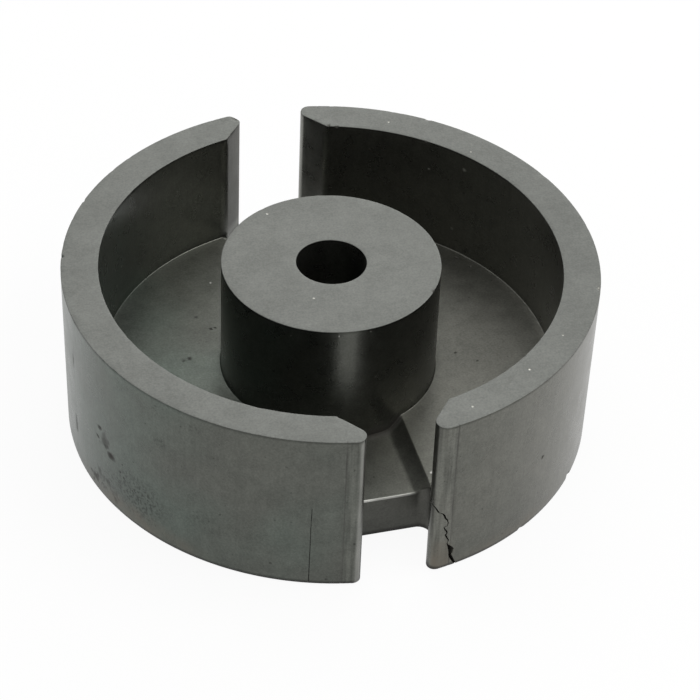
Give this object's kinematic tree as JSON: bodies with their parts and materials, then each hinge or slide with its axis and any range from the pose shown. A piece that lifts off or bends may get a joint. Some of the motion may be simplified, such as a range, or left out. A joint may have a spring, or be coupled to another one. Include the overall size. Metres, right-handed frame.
{
  "type": "ferrite pot core half",
  "caption": "Round pot core half in sintered ferrite: ring wall, hollow centre post, winding space, and opposite wire slots with base notches.",
  "frame": {"origin": "centre of the underside, on the axis of the centre post", "axes": "+Z along the centre post towards the mating face; the wire slots point along +Y and -Y; the cracked wall end is on the +X side of the -Y slot"},
  "size_m": [0.0424, 0.0418, 0.0148],
  "materials": {
    "ferrite": "sintered manganese-zinc ferrite: as-fired dark grey skin, mating faces ground matte"
  },
  "bodies": {
    "root": {"pot_core_half": "ferrite"}
  },
  "joints": []
}
